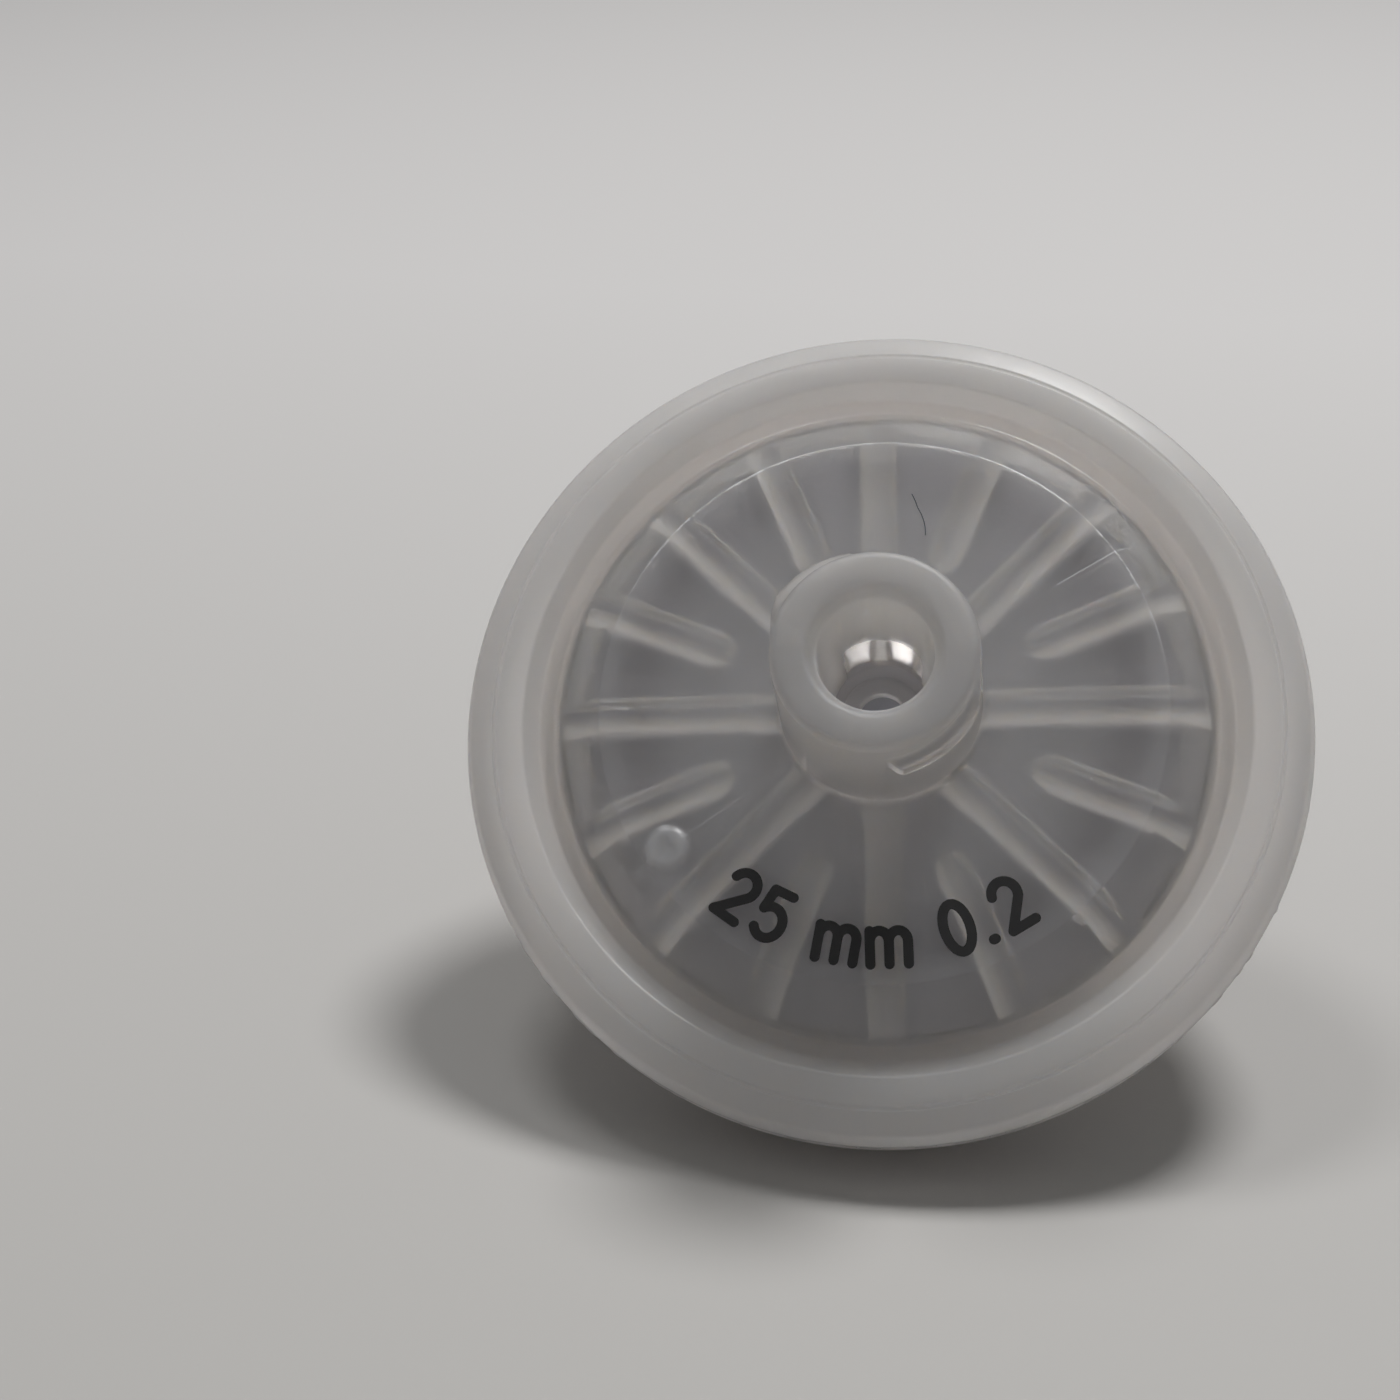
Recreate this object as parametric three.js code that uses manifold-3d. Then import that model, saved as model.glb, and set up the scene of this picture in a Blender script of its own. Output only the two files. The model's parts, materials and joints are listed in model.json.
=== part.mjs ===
// Syringe filter for a 25 mm membrane: two polypropylene mouldings welded round a nylon membrane.
// The filter is first built upright on its own axis, with the weld plane at z = 0 and the inlet
// upwards, and is then laid down as it rests: on the rim of its skirt and the tip of its nozzle.
// Lengths are millimetres, and angles are degrees.

import * as THREE from 'three';
import { mergeVertices, toCreasedNormals } from 'three/addons/utils/BufferGeometryUtils.js';
import Module from 'manifold-3d';

// ---- Resolution and clearances
// Half of this even number is odd, so a flat of the rim lies lowest and corners reach its full width.
const ROUND_SEGMENTS = 66;
const FILLET_STEPS = 2;
const SMOOTH_BELOW = 25; // two faces that meet at less than this angle shade as one surface
const GAP = 0.3; // between two pieces that touch on the real filter
const EMBED = 0.25; // how deep a rib, lug or fin starts inside the wall that carries it

// ---- Membrane, and the rim that both mouldings share
const MEMBRANE_R = 12.5;
const MEMBRANE_T = 0.15;
const CLAMP_W = 0.5; // ring of the membrane that the mouldings grip
const RIM_W = 4.0; // from the edge of the membrane to the outside of the rim
const BAND_H = 1.1; // height of each moulding's band above or below the weld plane
const BAND_EDGE_W = 0.25;
const BAND_EDGE_H = 0.55;
const WELD_LAND_W = 1.5; // from the membrane's pocket to the weld tongue
const TONGUE_W = 0.8;
const TONGUE_H = 0.7;

// ---- Inlet moulding, from the outside inwards
const RIM_SLOPE_W = 1.2;
const RIM_SLOPE_H = 0.5;
const FLANGE_DROP = 0.6; // depth of the groove below the flange
const GROOVE_AT = 0.9; // from the wall of the chamber out to the groove
const GROOVE_W = 0.6;
const GROOVE_WALL_W = 0.6;
const SHOULDER_W = 1.1; // from the wall of the chamber in to the edge of the plateau
const CEILING_T = 1.05;
const CEILING_CONE_W = 0.9;
const RIB_CLEARANCE = 0.475; // above the membrane
const RIB_H = 1.05;
const RIB_W = 0.95;
const RIB_COUNT = 16; // every second one is short
const SHORT_RIB_R = 6.45;
const RIB_TURN = 6;
const GATE_R = 0.92;
const GATE_H = 0.25;
const GATE_INSET = 1.03; // from the edge of the plateau
const GATE_AT = 220.4;

// ---- Female Luer-lock hub
const HUB_H = 6.25; // above the plateau
const HUB_WALL = 1.65; // at the mouth
const HUB_DRAFT = 0.1;
const HUB_FILLET = 0.35;
const HUB_EDGE = 0.2;
const SOCKET_R = 2.15;
const LUER_TAPER = 0.03; // change of radius per length: the 6 % Luer taper
const MOUTH_CHAMFER_W = 0.25;
const MOUTH_CHAMFER_H = 0.3;
const WELL_FLOOR_T = 0.6;
const WELL_WALL = 0.97;
const INLET_HOLE_R = 0.9;
const LUG_PROUD = 0.45;
const LUG_ROOT_H = 1.1;
const LUG_CREST_H = 0.65;
const LUG_START_DROP = 1.1; // from the hub's face to the top of a lug at its blunt lower end
const LUG_ARC = 80;
const LUG_LEAD = 5; // rise of a lug for one full turn
const LUG_AT = 100;

// ---- Outlet moulding, from the outside inwards
const SKIRT_STEP = 0.6; // from the band in to the skirt
const SKIRT_DRAFT = 0.3;
const SKIRT_H = 2.3;
const SKIRT_FILLET = 0.7;
const SKIRT_FACE_W = 1.0;
const SKIRT_INNER_DRAFT = 0.5;
const UNDER_GROOVE_H = 0.35;
const UNDER_GROOVE_W = 1.0;
const UNDER_SLOPE_W = 0.8;
const FLOOR_T = 1.25;
const FLOOR_SLOPE_W = 0.4;
const RIDGE_H = 0.825;
const RIDGE_W = 0.7;
const RIDGE_FIRST_R = 3.2;
const RIDGE_PITCH = 2.15;
const CHANNEL_COUNT = 8;
const CHANNEL_W = 0.9;
const DRAIN_R = 0.9;

// ---- Boss, fins and male Luer nozzle
const NOZZLE_L = 13.65; // below the underside
const NOZZLE_TIP_R = 1.98;
const NOZZLE_TIP_WALL = 0.93;
const NOZZLE_TIP_EDGE = 0.12;
const LUER_L = 8.0; // length of the tapered part of the nozzle
const BOSS_PROUD = 0.43; // beyond the root of the taper
const BOSS_H = 2.5;
const BOSS_EDGE = 0.25;
const FIN_COUNT = 6;
const FIN_W = 0.8;
const FIN_L = 4.5;
const FIN_ROOT_PROUD = 0.75; // beyond the boss, at the underside
const FIN_SHOULDER_PROUD = 0.6; // at the end of the boss
const FIN_NOSE_PROUD = 0.15; // below the shoulder
const FIN_TURN = 10;

// ---- Heights and radii that follow from them
const outerR = MEMBRANE_R + RIM_W;
const bandEdgeR = outerR - BAND_EDGE_W;
const bandEdgeZ = BAND_H - BAND_EDGE_H;
const chamberR = MEMBRANE_R - CLAMP_W;
const pocketR = MEMBRANE_R + GAP;
const membraneTop = MEMBRANE_T / 2;
const clampZ = membraneTop + GAP;
const seatZ = -clampZ;
const weldTop = GAP / 2;
const weldBottom = -weldTop;
const tongueInnerR = pocketR + WELD_LAND_W;
const tongueOuterR = tongueInnerR + TONGUE_W;
const tongueTipZ = weldTop - TONGUE_H;

const flangeZ = BAND_H + RIM_SLOPE_H;
const flangeOuterR = outerR - RIM_SLOPE_W;
const grooveInnerR = chamberR + GROOVE_AT;
const grooveOuterR = grooveInnerR + GROOVE_W;
const flangeInnerR = grooveOuterR + GROOVE_WALL_W;
const grooveZ = flangeZ - FLANGE_DROP;
const ribZ = membraneTop + RIB_CLEARANCE;
const ceilingZ = ribZ + RIB_H;
const ceilingR = chamberR - CEILING_CONE_W;
const plateauZ = ceilingZ + CEILING_T;
const plateauR = chamberR - SHOULDER_W;

const hubTopZ = plateauZ + HUB_H;
const hubR = SOCKET_R + HUB_WALL;
const wellFloorZ = ribZ + WELL_FLOOR_T;
const wellFloorR = SOCKET_R - LUER_TAPER * (hubTopZ - MOUTH_CHAMFER_H - wellFloorZ);
const wellR = wellFloorR + WELL_WALL;

const floorZ = seatZ - RIDGE_H;
const floorR = chamberR - FLOOR_SLOPE_W;
const undersideZ = floorZ - FLOOR_T;
const skirtR = outerR - SKIRT_STEP;
const skirtZ = -BAND_H - SKIRT_H;
const skirtCornerR = skirtR - SKIRT_DRAFT - SKIRT_FILLET;
const skirtInnerR = skirtCornerR - SKIRT_FACE_W;
const underGrooveOuterR = skirtInnerR - SKIRT_INNER_DRAFT;
const underGrooveInnerR = underGrooveOuterR - UNDER_GROOVE_W;

const nozzleTipZ = undersideZ - NOZZLE_L;
const nozzleRootR = NOZZLE_TIP_R + LUER_TAPER * LUER_L;
const bossR = nozzleRootR + BOSS_PROUD;
const bossZ = undersideZ - BOSS_H;

const wasm = await Module();
wasm.setup();

const radians = THREE.MathUtils.degToRad;

// A point of a turned profile: its distance from the axis and its height.
const at = (r, z) => new THREE.Vector2(r, z);

// Points of a circular arc in a profile, from one angle to another.
function arc(r, z, radius, from, to) {
  return Array.from({ length: FILLET_STEPS + 1 }, (_, i) => {
    const angle = radians(from + (to - from) * i / FILLET_STEPS);
    return at(r + radius * Math.cos(angle), z + radius * Math.sin(angle));
  });
}

// Turns a profile about the z axis. It runs counterclockwise in (r, z), so that its faces point
// out. It either starts and ends on the axis or is a ring's section, joined back to its start.
function turn(profile, segments = ROUND_SEGMENTS) {
  const onAxis = profile[0].x === 0;
  const points = onAxis ? profile : [...profile, profile[0]];
  const geometry = new THREE.LatheGeometry(points, segments, Math.PI / segments);
  return geometry.rotateX(Math.PI / 2);
}

// The solid that a closed geometry bounds.
function solid(geometry) {
  geometry.deleteAttribute('normal');
  geometry.deleteAttribute('uv');
  const merged = mergeVertices(geometry);
  const mesh = new wasm.Mesh({
    numProp: 3,
    vertProperties: merged.attributes.position.array,
    triVerts: new Uint32Array(merged.index.array),
  });
  return new wasm.Manifold(mesh);
}

// The geometry of a solid, smooth round its turned walls and sharp at its edges.
function shaded(body) {
  const mesh = body.getMesh();
  const geometry = new THREE.BufferGeometry();
  geometry.setAttribute('position', new THREE.BufferAttribute(mesh.vertProperties, 3));
  geometry.setIndex(new THREE.BufferAttribute(mesh.triVerts, 1));
  return toCreasedNormals(geometry, radians(SMOOTH_BELOW));
}

// Solids spaced evenly about the z axis, joined. Each is made lying along the x axis.
function around(count, firstAngle, makeGeometry) {
  const solids = Array.from({ length: count }, (_, i) => {
    const geometry = makeGeometry(i);
    return solid(geometry.rotateZ(radians(firstAngle + i * 360 / count)));
  });
  return wasm.Manifold.union(solids);
}

// A level bar along the x axis, from one radius to another and one height to another, with a round
// inner end if asked.
function bar(innerR, endR, width, low, high, isRound) {
  const half = width / 2;
  const plan = new THREE.Shape();
  plan.moveTo(innerR, -half);
  plan.lineTo(endR, -half);
  plan.lineTo(endR, half);
  plan.lineTo(innerR, half);
  if (isRound) {
    plan.absarc(innerR, 0, half, Math.PI / 2, Math.PI * 3 / 2);
  }
  const geometry = new THREE.ExtrudeGeometry(plan, {
    depth: high - low,
    bevelEnabled: false,
    curveSegments: 4,
  });
  return geometry.translate(0, 0, low);
}

// ---- Inlet moulding
const inletProfile = [
  at(INLET_HOLE_R, ribZ),
  at(wellR, ribZ),
  at(wellR, ceilingZ),
  at(ceilingR, ceilingZ),
  at(chamberR, clampZ),
  at(pocketR, clampZ),
  at(pocketR, weldTop),
  at(tongueInnerR, weldTop),
  at(tongueInnerR, tongueTipZ),
  at(tongueOuterR, tongueTipZ),
  at(tongueOuterR, weldTop),
  at(outerR, weldTop),
  at(outerR, bandEdgeZ),
  at(bandEdgeR, BAND_H),
  at(flangeOuterR, flangeZ),
  at(flangeInnerR, flangeZ),
  at(grooveOuterR, grooveZ),
  at(grooveInnerR, grooveZ),
  at(plateauR, plateauZ),
  ...arc(hubR + HUB_DRAFT + HUB_FILLET, plateauZ + HUB_FILLET, HUB_FILLET, 270, 180),
  at(hubR, hubTopZ - HUB_EDGE),
  at(hubR - HUB_EDGE, hubTopZ),
  at(SOCKET_R + MOUTH_CHAMFER_W, hubTopZ),
  at(SOCKET_R, hubTopZ - MOUTH_CHAMFER_H),
  at(wellFloorR, wellFloorZ),
  at(INLET_HOLE_R, wellFloorZ),
];

// The ribs under the ceiling, which end in the sloping wall of the chamber.
function ceilingRibs() {
  const chamber = turn([
    at(0, ribZ),
    at(chamberR, ribZ),
    at(ceilingR + EMBED, ceilingZ + EMBED),
    at(0, ceilingZ + EMBED),
  ]);
  const bars = around(RIB_COUNT, RIB_TURN, (i) => {
    const isShort = i % 2 === 1;
    const innerR = isShort ? SHORT_RIB_R + RIB_W / 2 : wellR - EMBED;
    return bar(innerR, MEMBRANE_R, RIB_W, ribZ, plateauZ, isShort);
  });
  return bars.intersect(solid(chamber));
}

// The two Luer lugs: ring sectors of trapezoid section that climb to the face of the hub and are
// cut off level with it.
function luerLugs() {
  const innerR = hubR - EMBED;
  const lugR = hubR + LUG_PROUD;
  const plan = new THREE.Shape();
  plan.absarc(0, 0, lugR, 0, radians(LUG_ARC));
  plan.absarc(0, 0, innerR, radians(LUG_ARC), 0, true);
  const lugs = around(2, LUG_AT, () => {
    const geometry = new THREE.ExtrudeGeometry(plan, {
      depth: 1,
      bevelEnabled: false,
      curveSegments: 8,
    });
    const position = geometry.attributes.position;
    for (let i = 0; i < position.count; i += 1) {
      const x = position.getX(i);
      const y = position.getY(i);
      const isCrest = Math.hypot(x, y) > (innerR + lugR) / 2;
      const height = isCrest ? LUG_CREST_H : LUG_ROOT_H;
      const climb = LUG_LEAD * Math.atan2(y, x) / (2 * Math.PI);
      const middle = hubTopZ - LUG_START_DROP - LUG_ROOT_H / 2 + climb;
      position.setZ(i, middle + (position.getZ(i) - 0.5) * height);
    }
    return geometry;
  });
  const belowFace = turn([
    at(0, plateauZ),
    at(lugR + GAP, plateauZ),
    at(lugR + GAP, hubTopZ),
    at(0, hubTopZ),
  ]);
  return lugs.intersect(solid(belowFace));
}

// The low round mark that the moulding gate leaves on the plateau.
function gateMark() {
  const mark = turn([
    at(0, plateauZ - EMBED),
    at(GATE_R, plateauZ - EMBED),
    at(GATE_R, plateauZ + GATE_H / 2),
    at(GATE_R - GATE_H, plateauZ + GATE_H),
    at(0, plateauZ + GATE_H),
  ], 18);
  mark.translate(plateauR - GATE_INSET, 0, 0);
  return solid(mark.rotateZ(radians(GATE_AT)));
}

// ---- Outlet moulding
const skirtCorner = arc(skirtCornerR, skirtZ + SKIRT_FILLET, SKIRT_FILLET, 270, 360);
const bandCorner = [at(bandEdgeR, -BAND_H), at(outerR, -bandEdgeZ)];
const nozzleTip = [
  at(NOZZLE_TIP_R - NOZZLE_TIP_EDGE, nozzleTipZ),
  at(NOZZLE_TIP_R, nozzleTipZ + NOZZLE_TIP_EDGE),
];

// Ridges that carry the membrane, as many as the floor has room for, from the outside inwards.
function supportRidges() {
  const teeth = [];
  for (let r = RIDGE_FIRST_R; r + RIDGE_W < floorR; r += RIDGE_PITCH) {
    teeth.unshift(
      at(r + RIDGE_W / 2, floorZ),
      at(r + RIDGE_W / 4, seatZ),
      at(r - RIDGE_W / 4, seatZ),
      at(r - RIDGE_W / 2, floorZ),
    );
  }
  return teeth;
}

const outletProfile = [
  at(NOZZLE_TIP_R - NOZZLE_TIP_WALL, nozzleTipZ),
  ...nozzleTip,
  at(nozzleRootR, nozzleTipZ + LUER_L),
  at(nozzleRootR, bossZ - BOSS_EDGE),
  at(bossR, bossZ),
  at(bossR, undersideZ),
  at(underGrooveInnerR - UNDER_SLOPE_W, undersideZ),
  at(underGrooveInnerR, undersideZ + UNDER_GROOVE_H),
  at(underGrooveOuterR, undersideZ + UNDER_GROOVE_H),
  at(skirtInnerR, skirtZ),
  ...skirtCorner,
  at(skirtR, -BAND_H),
  ...bandCorner,
  at(outerR, weldBottom),
  at(tongueOuterR + GAP, weldBottom),
  at(tongueOuterR + GAP, tongueTipZ - GAP),
  at(tongueInnerR - GAP, tongueTipZ - GAP),
  at(tongueInnerR - GAP, weldBottom),
  at(pocketR, weldBottom),
  at(pocketR, seatZ),
  at(chamberR, seatZ),
  at(floorR, floorZ),
  ...supportRidges(),
  at(DRAIN_R, floorZ),
];

// Radial channels that let the filtrate cross the ridges to the drain.
function drainChannels() {
  return around(CHANNEL_COUNT, 0, () => bar(
    DRAIN_R + GAP, floorR - GAP, CHANNEL_W, floorZ, 0, false,
  ));
}

// The fins along the boss and the root of the nozzle, each with a shoulder at the boss's end.
function bossFins() {
  const finEndZ = undersideZ - FIN_L;
  const noseR = bossR + FIN_NOSE_PROUD;
  const side = new THREE.Shape();
  side.moveTo(nozzleRootR - EMBED, undersideZ + EMBED);
  side.lineTo(nozzleRootR - EMBED, finEndZ);
  side.lineTo(noseR - BOSS_EDGE, finEndZ);
  side.lineTo(noseR, finEndZ + BOSS_EDGE);
  side.lineTo(noseR, bossZ - BOSS_EDGE);
  side.lineTo(bossR + FIN_SHOULDER_PROUD, bossZ);
  side.lineTo(bossR + FIN_ROOT_PROUD, undersideZ);
  side.lineTo(bossR + FIN_ROOT_PROUD, undersideZ + EMBED);
  return around(FIN_COUNT, FIN_TURN, () => {
    const geometry = new THREE.ExtrudeGeometry(side, { depth: FIN_W, bevelEnabled: false });
    return geometry.translate(0, 0, -FIN_W / 2).rotateX(Math.PI / 2);
  });
}

// ---- Pieces and their materials
const naturalPolypropylene = new THREE.MeshStandardMaterial({
  color: 0xcbc9c3,
  roughness: 0.35,
  metalness: 0,
  transparent: true,
  opacity: 0.6,
});

const whiteNylon = new THREE.MeshStandardMaterial({
  color: 0xdadcdc,
  roughness: 0.9,
  metalness: 0,
});

const inletSolid = wasm.Manifold.union([
  solid(turn(inletProfile)),
  ceilingRibs(),
  luerLugs(),
  gateMark(),
]);

const membraneSolid = solid(turn([
  at(0, -membraneTop),
  at(MEMBRANE_R, -membraneTop),
  at(MEMBRANE_R, membraneTop),
  at(0, membraneTop),
]));

const outletSolid = solid(turn(outletProfile)).add(bossFins()).subtract(drainChannels());

function piece(name, body, material) {
  const mesh = new THREE.Mesh(shaded(body), material);
  mesh.name = name;
  return mesh;
}

const filter = new THREE.Group();
filter.add(piece('inlet_housing', inletSolid, naturalPolypropylene));
filter.add(piece('membrane', membraneSolid, whiteNylon));
filter.add(piece('outlet_housing', outletSolid, naturalPolypropylene));

// ---- How it lies
// It leans on the flats of the rim and of the nozzle's tip that face down. Seen from the side, the
// line that it rests on touches the lowest corner of each.
const flatScale = Math.cos(Math.PI / ROUND_SEGMENTS);
const rimCorners = [...skirtCorner, ...bandCorner];
const restTilt = Math.max(...nozzleTip.map((tip) => Math.min(...rimCorners.map(
  (rim) => Math.atan2(rim.y - tip.y, (rim.x - tip.x) * flatScale),
))));
filter.rotation.x = restTilt;

// The origin is under the middle of the whole filter, on the surface that it lies on.
const group = new THREE.Group();
group.add(filter);
group.updateMatrixWorld(true);
const extent = new THREE.Box3().setFromObject(group, true);
const centre = extent.getCenter(new THREE.Vector3());
filter.position.set(-centre.x, -centre.y, -extent.min.z);

export default group;
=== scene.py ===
"""Looks of a syringe filter for a 25 mm membrane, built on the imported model.

Every piece is first built upright in the filter's own frame, in millimetres: the weld plane is at
z = 0 and the inlet points up. It is then laid down as the filter rests, and turned to metres.
"""

import json
import logging
import math
from dataclasses import dataclass, replace
from enum import IntEnum
from functools import reduce
from typing import Any, Callable, Sequence

import bpy
import numpy as np
from mathutils import Matrix, Vector


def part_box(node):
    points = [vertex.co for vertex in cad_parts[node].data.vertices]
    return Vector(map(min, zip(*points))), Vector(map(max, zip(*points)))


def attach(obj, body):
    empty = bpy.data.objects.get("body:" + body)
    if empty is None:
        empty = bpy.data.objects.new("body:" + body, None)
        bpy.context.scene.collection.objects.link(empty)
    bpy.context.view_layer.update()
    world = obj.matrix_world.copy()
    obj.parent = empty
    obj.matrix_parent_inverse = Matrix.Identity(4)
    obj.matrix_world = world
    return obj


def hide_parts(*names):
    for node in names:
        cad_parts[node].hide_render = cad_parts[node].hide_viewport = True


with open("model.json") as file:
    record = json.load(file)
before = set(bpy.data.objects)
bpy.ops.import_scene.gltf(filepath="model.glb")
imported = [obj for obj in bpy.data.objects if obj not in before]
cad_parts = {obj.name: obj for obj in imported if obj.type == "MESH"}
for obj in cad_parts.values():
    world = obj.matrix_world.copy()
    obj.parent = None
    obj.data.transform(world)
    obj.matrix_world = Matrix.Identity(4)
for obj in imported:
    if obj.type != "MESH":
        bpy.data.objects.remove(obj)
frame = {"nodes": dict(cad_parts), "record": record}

LOG = logging.getLogger("syringe_filter")
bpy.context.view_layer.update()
MM = 0.001
ROUND_STEPS = 384  # points round every turned ring
EVEN = np.arange(ROUND_STEPS) * 2 * math.pi / ROUND_STEPS  # their angles where none crowd
SEAM = 0.01  # half of the hairline between the two welded mouldings, in mm
ARC_STEP = 18  # degrees of a rounded corner that one step may turn
FLAT_TURN = 0.02  # radians; a profile that turns less than this needs no rounding
SIDE_SHARE = 0.45  # share of a side that the rounding of one of its corners may take
BAR_SHARE = 0.36  # share of a bar's pitch that its own points may take to each side

Colour = tuple[float, float, float, float]
Point = tuple[float, float]


def linear(hex_colour: str) -> Colour:
    """Turns an sRGB hex colour to linear light.

    Args:
        hex_colour: The colour as #RRGGBB.

    Returns:
        Its linear red, green and blue, and an alpha of 1.
    """
    parts = [int(hex_colour[i:i + 2], 16) / 255 for i in (1, 3, 5)]
    light = [c / 12.92 if c <= 0.04045 else ((c + 0.055) / 1.055) ** 2.4 for c in parts]
    return light[0], light[1], light[2], 1.0


def add_node(
    tree: bpy.types.NodeTree, kind: str, inputs: dict[int | str, Any] | None = None, **settings: Any
) -> bpy.types.Node:
    """Adds a node to a tree, with its settings, values and links.

    Args:
        tree: The shader or geometry tree.
        kind: The node's type name.
        inputs: A value, a node (for its first output) or an output socket for each input.
        settings: The node's own options, such as its operation.

    Returns:
        The node.
    """
    node = tree.nodes.new(kind)
    for option, value in settings.items():
        setattr(node, option, value)
    for key, value in (inputs or {}).items():
        if isinstance(value, bpy.types.Node):
            value = value.outputs[0]
        if isinstance(value, bpy.types.NodeSocket):
            tree.links.new(value, node.inputs[key])
        else:
            node.inputs[key].default_value = value
    return node


def calculate(
    tree: bpy.types.NodeTree, operation: str, *values: Any, **settings: Any
) -> bpy.types.Node:
    """Adds a calculation on up to three numbers."""
    return add_node(
        tree, "ShaderNodeMath", dict(enumerate(values)), operation=operation, **settings
    )


def product(tree: bpy.types.NodeTree, *factors: Any) -> bpy.types.Node:
    """Adds the product of two or more numbers."""
    return reduce(lambda total, factor: calculate(tree, "MULTIPLY", total, factor), factors)


def on_vectors(tree: bpy.types.NodeTree, operation: str, *values: Any) -> bpy.types.Node:
    """Adds a calculation on up to two vectors."""
    return add_node(tree, "ShaderNodeVectorMath", dict(enumerate(values)), operation=operation)


def placed(name: str, data: Any) -> bpy.types.Object:
    """Makes an object of a mesh, light or camera and puts it in the scene."""
    made = bpy.data.objects.new(name, data)
    bpy.context.scene.collection.objects.link(made)
    return made


def keep(piece: bpy.types.Object, name: str, kind: str, values: np.ndarray) -> None:
    """Keeps a value for each point of a piece as an attribute."""
    field = "vector" if kind == "FLOAT_VECTOR" else "value"
    piece.data.attributes.new(name, kind, "POINT").data.foreach_set(field, values)


# ---- Finishes


class Finish:
    """What every finish shares: a material whose one shader meets its output."""

    name: str

    def shader(self, tree: bpy.types.NodeTree) -> bpy.types.Node:
        """Adds the shader, which each finish has of its own."""
        raise NotImplementedError

    def material(self) -> bpy.types.Material:
        """Builds the material."""
        material = bpy.data.materials.new(self.name)
        material.use_nodes = True
        tree = material.node_tree
        tree.nodes.clear()
        add_node(tree, "ShaderNodeOutputMaterial", {"Surface": self.shader(tree)})
        return material

    @staticmethod
    def grain(tree: bpy.types.NodeTree, size_mm: float) -> bpy.types.NodeSocket:
        """Adds noise of about one size that is fixed to the object."""
        where = add_node(tree, "ShaderNodeTexCoord")
        noise = add_node(
            tree, "ShaderNodeTexNoise",
            {"Vector": where.outputs["Object"], "Scale": 1 / (size_mm * MM)},
        )
        return noise.outputs["Fac"]

    @staticmethod
    def relief(
        tree: bpy.types.NodeTree, height: bpy.types.NodeSocket, strength: float, depth_mm: float
    ) -> bpy.types.Node:
        """Adds a bump of a given depth."""
        return add_node(
            tree, "ShaderNodeBump",
            {"Strength": strength, "Distance": depth_mm * MM, "Height": height},
        )

    @staticmethod
    def blend(
        tree: bpy.types.NodeTree, share: Any, first: str, second: str
    ) -> bpy.types.NodeSocket:
        """Adds a mix of two hex colours."""
        mix = add_node(
            tree, "ShaderNodeMix", {0: share, 6: linear(first), 7: linear(second)},
            data_type="RGBA",
        )
        return mix.outputs[2]


@dataclass(frozen=True)
class Scratch:
    """A straight scratch between two places on the inlet's side, in mm about its axis."""

    start: Point
    end: Point
    width: float
    strength: float
    above: float = 0.9  # it lies on what is higher than this, so not inside the moulding

    def mask(self, tree: bpy.types.NodeTree, where: bpy.types.NodeSocket) -> bpy.types.Node:
        """Adds the nodes that find the scratch.

        Args:
            tree: The shader tree.
            where: The place on the piece, in mm.

        Returns:
            A node that gives the scratch's strength on it and 0 elsewhere.
        """
        start, way = Vector((*self.start, 0)), Vector(self.end) - Vector(self.start)
        length, way = way.length, way.normalized()
        from_start = on_vectors(tree, "SUBTRACT", where, start)
        across, along = (
            on_vectors(tree, "DOT_PRODUCT", from_start, (*direction, 0)).outputs["Value"]
            for direction in ((-way.y, way.x), (way.x, way.y))
        )
        height = add_node(tree, "ShaderNodeSeparateXYZ", {0: where}).outputs["Z"]
        near = calculate(tree, "COMPARE", across, 0.0, self.width / 2)
        within = calculate(tree, "COMPARE", along, length / 2, length / 2)
        outside = calculate(tree, "GREATER_THAN", height, self.above)
        return product(tree, near, within, outside, self.strength)


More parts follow.
